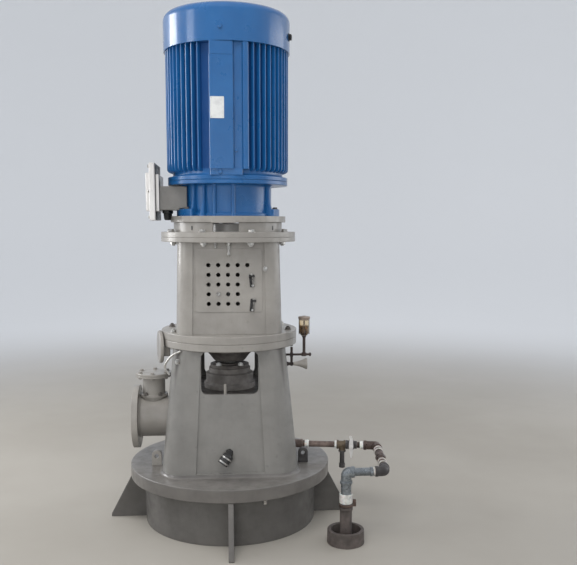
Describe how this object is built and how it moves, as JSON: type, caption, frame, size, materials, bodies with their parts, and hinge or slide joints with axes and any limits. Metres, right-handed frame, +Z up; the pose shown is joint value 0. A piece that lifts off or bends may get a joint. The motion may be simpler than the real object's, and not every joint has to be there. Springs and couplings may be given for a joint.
{
  "type": "vertical turbine pump",
  "caption": "Vertical turbine pump with finned electric motor, perforated coupling lantern, windowed discharge stool, side flange, oiler and a drain line with a ball valve",
  "frame": {"origin": "on the pump's vertical axis at floor level, at the middle of the flat underside of the barrel stub inside the base ring", "axes": "+Z up along the shaft; -X out of the discharge flange; -Y towards the perforated front guard; +X towards the oiler and the drain line"},
  "size_m": [1.4859, 1.31, 2.653],
  "materials": {
    "grey_paint": "semi-gloss warm grey machine paint over castings",
    "dark_grey_paint": "dull dark grey paint with dust",
    "blue_paint": "glossy blue motor enamel",
    "black_iron": "blackened iron",
    "cast_iron": "dark oily cast iron",
    "bright_steel": "bright zinc-plated or turned steel",
    "galvanised_steel": "weathered galvanised pipe",
    "rusty_steel": "brown mill steel with light rust",
    "amber_glass": "clear glass with amber oil",
    "bare_plate": "bare light plate without text"
  },
  "bodies": {
    "pump_body": {"base_ring": "dark_grey_paint", "pump_barrel": "dark_grey_paint", "base_plate": "grey_paint", "base_rib_right": "dark_grey_paint", "base_rib_back": "dark_grey_paint", "base_rib_left": "dark_grey_paint", "base_rib_front": "dark_grey_paint", "lower_stool": "grey_paint", "stool_top_flange": "grey_paint", "discharge_nozzle": "grey_paint", "vent_neck": "grey_paint", "vent_cover": "grey_paint", "base_lug_left": "black_iron", "base_lug_right": "black_iron", "lifting_lug": "grey_paint", "seal_chamber": "cast_iron", "seal_gland": "cast_iron", "bearing_housing": "grey_paint", "lantern_base_flange": "grey_paint", "upper_lantern": "grey_paint", "lantern_top_flange": "grey_paint", "guard_front": "grey_paint", "guard_back": "grey_paint", "motor_adapter": "grey_paint", "adapter_plate": "grey_paint", "motor_end_bracket": "blue_paint", "motor_frame": "blue_paint", "nameplate": "bare_plate", "fan_cover": "blue_paint", "fan_grille": "blue_paint", "terminal_box": "grey_paint", "terminal_box_lid": "grey_paint", "cable_gland_1": "black_iron", "cable_gland_2": "black_iron", "oiler_pipe": "cast_iron", "oiler_horn": "grey_paint", "oiler_glass": "amber_glass", "oiler_cap": "bright_steel", "drain_coupling": "rusty_steel", "drain_inlet_pipe": "rusty_steel", "drain_tee": "rusty_steel", "drain_valve_body": "rusty_steel", "drain_loop": "rusty_steel", "drain_return_pipe": "galvanised_steel", "standpipe": "galvanised_steel", "standpipe_lower": "rusty_steel", "drain_cup": "rusty_steel", "hose_nipple": "black_iron"},
    "rotor": {"pump_shaft": "bright_steel", "shaft_sleeve": "cast_iron", "shaft_coupling": "bright_steel", "shaft_collar": "cast_iron"},
    "valve_lever": {"drain_valve_lever": "bright_steel"}
  },
  "joints": [
    {"name": "shaft_spin", "type": "hinge", "parent": "pump_body", "child": "rotor", "pos_m": [0, 0, 1.34], "axis": [0, 0, 1], "continuous": true},
    {"name": "valve_lever_turn", "type": "hinge", "parent": "pump_body", "child": "valve_lever", "pos_m": [0.66015, -0.08179, 0.385], "axis": [-0.1736, -0.9848, 0], "range_deg": [0, 90]}
  ]
}
